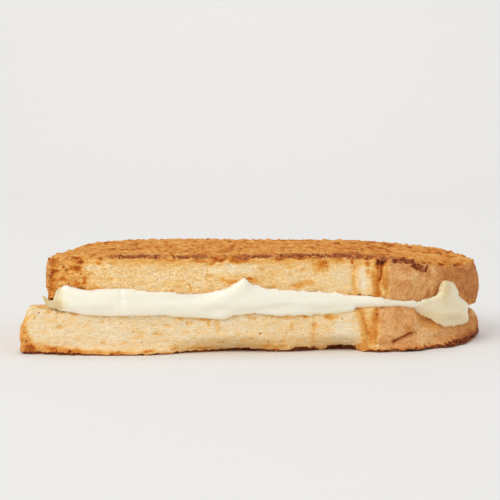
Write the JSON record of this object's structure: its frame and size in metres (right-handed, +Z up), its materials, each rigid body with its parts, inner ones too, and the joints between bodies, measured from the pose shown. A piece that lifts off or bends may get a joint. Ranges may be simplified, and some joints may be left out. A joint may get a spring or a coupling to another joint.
{
  "type": "grilled cheese sandwich",
  "caption": "Toasted sandwich trimmed by one straight cut, with a layer of melted white cheese that runs out between two slices of bread.",
  "frame": {"origin": "middle of the footprint, on the surface that the sandwich stands on", "axes": "+X along the cut face towards the domed end, +Y from the cut face to the back crust, +Z up"},
  "size_m": [0.1306, 0.0878, 0.0262],
  "materials": {
    "toasted_bread": "matt toasted white bread: golden brown faces and crust, cream crumb at the cut",
    "melted_cheese": "smooth, slightly glossy melted mozzarella, creamy white"
  },
  "bodies": {
    "root": {"upper_bread": "toasted_bread", "cheese": "melted_cheese", "lower_bread": "toasted_bread"}
  },
  "joints": []
}
